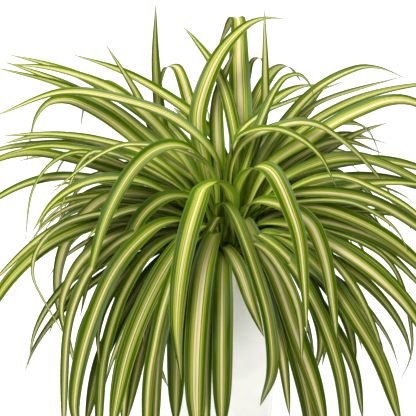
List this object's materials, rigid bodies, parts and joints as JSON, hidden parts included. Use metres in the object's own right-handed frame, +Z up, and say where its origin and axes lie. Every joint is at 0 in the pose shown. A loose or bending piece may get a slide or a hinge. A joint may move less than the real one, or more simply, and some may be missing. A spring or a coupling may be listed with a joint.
{
  "type": "potted spider plant",
  "caption": "Variegated spider plant in a tapered round pot: arching strap leaves with pale middles and green edges growing from one crown in soil",
  "frame": {"origin": "Middle of the pot's flat underside, on the axis of the turned pot", "axes": "+Z up the pot's axis, +X to the plant's right seen from its front, -Y towards the front, where the leaves hang over the rim"},
  "size_m": [0.6423, 0.4064, 0.569],
  "materials": {
    "glaze": "white glaze, smooth",
    "soil": "loose dark potting soil",
    "sheath": "pale green leaf sheaths",
    "leaf": "satin leaf, cream middle and green margins"
  },
  "bodies": {
    "root": {"pot": "glaze", "soil": "soil", "crown": "sheath", "upright_leaf_1": "leaf", "upright_leaf_2": "leaf", "upright_leaf_3": "leaf", "upright_leaf_4": "leaf", "upright_leaf_5": "leaf", "upright_leaf_6": "leaf", "upright_leaf_7": "leaf", "upright_leaf_8": "leaf", "upright_leaf_9": "leaf", "upright_leaf_10": "leaf", "upright_leaf_11": "leaf", "upright_leaf_12": "leaf", "front_leaf_1": "leaf", "front_leaf_2": "leaf", "front_leaf_3": "leaf", "front_leaf_4": "leaf", "front_leaf_5": "leaf", "front_leaf_6": "leaf", "right_leaf_1": "leaf", "right_leaf_2": "leaf", "right_leaf_3": "leaf", "right_leaf_4": "leaf", "right_leaf_5": "leaf", "right_leaf_6": "leaf", "right_leaf_7": "leaf", "right_leaf_8": "leaf", "right_leaf_9": "leaf", "right_leaf_10": "leaf", "right_leaf_11": "leaf", "right_leaf_12": "leaf", "right_leaf_13": "leaf", "right_leaf_14": "leaf", "right_leaf_15": "leaf", "left_leaf_1": "leaf", "left_leaf_2": "leaf", "left_leaf_3": "leaf", "left_leaf_4": "leaf", "left_leaf_5": "leaf", "left_leaf_6": "leaf", "left_leaf_7": "leaf", "left_leaf_8": "leaf", "left_leaf_9": "leaf", "left_leaf_10": "leaf", "left_leaf_11": "leaf", "left_leaf_12": "leaf", "left_leaf_13": "leaf", "left_leaf_14": "leaf", "left_leaf_15": "leaf", "left_leaf_16": "leaf", "left_leaf_17": "leaf", "left_leaf_18": "leaf", "left_leaf_19": "leaf", "left_leaf_20": "leaf"}
  },
  "joints": []
}
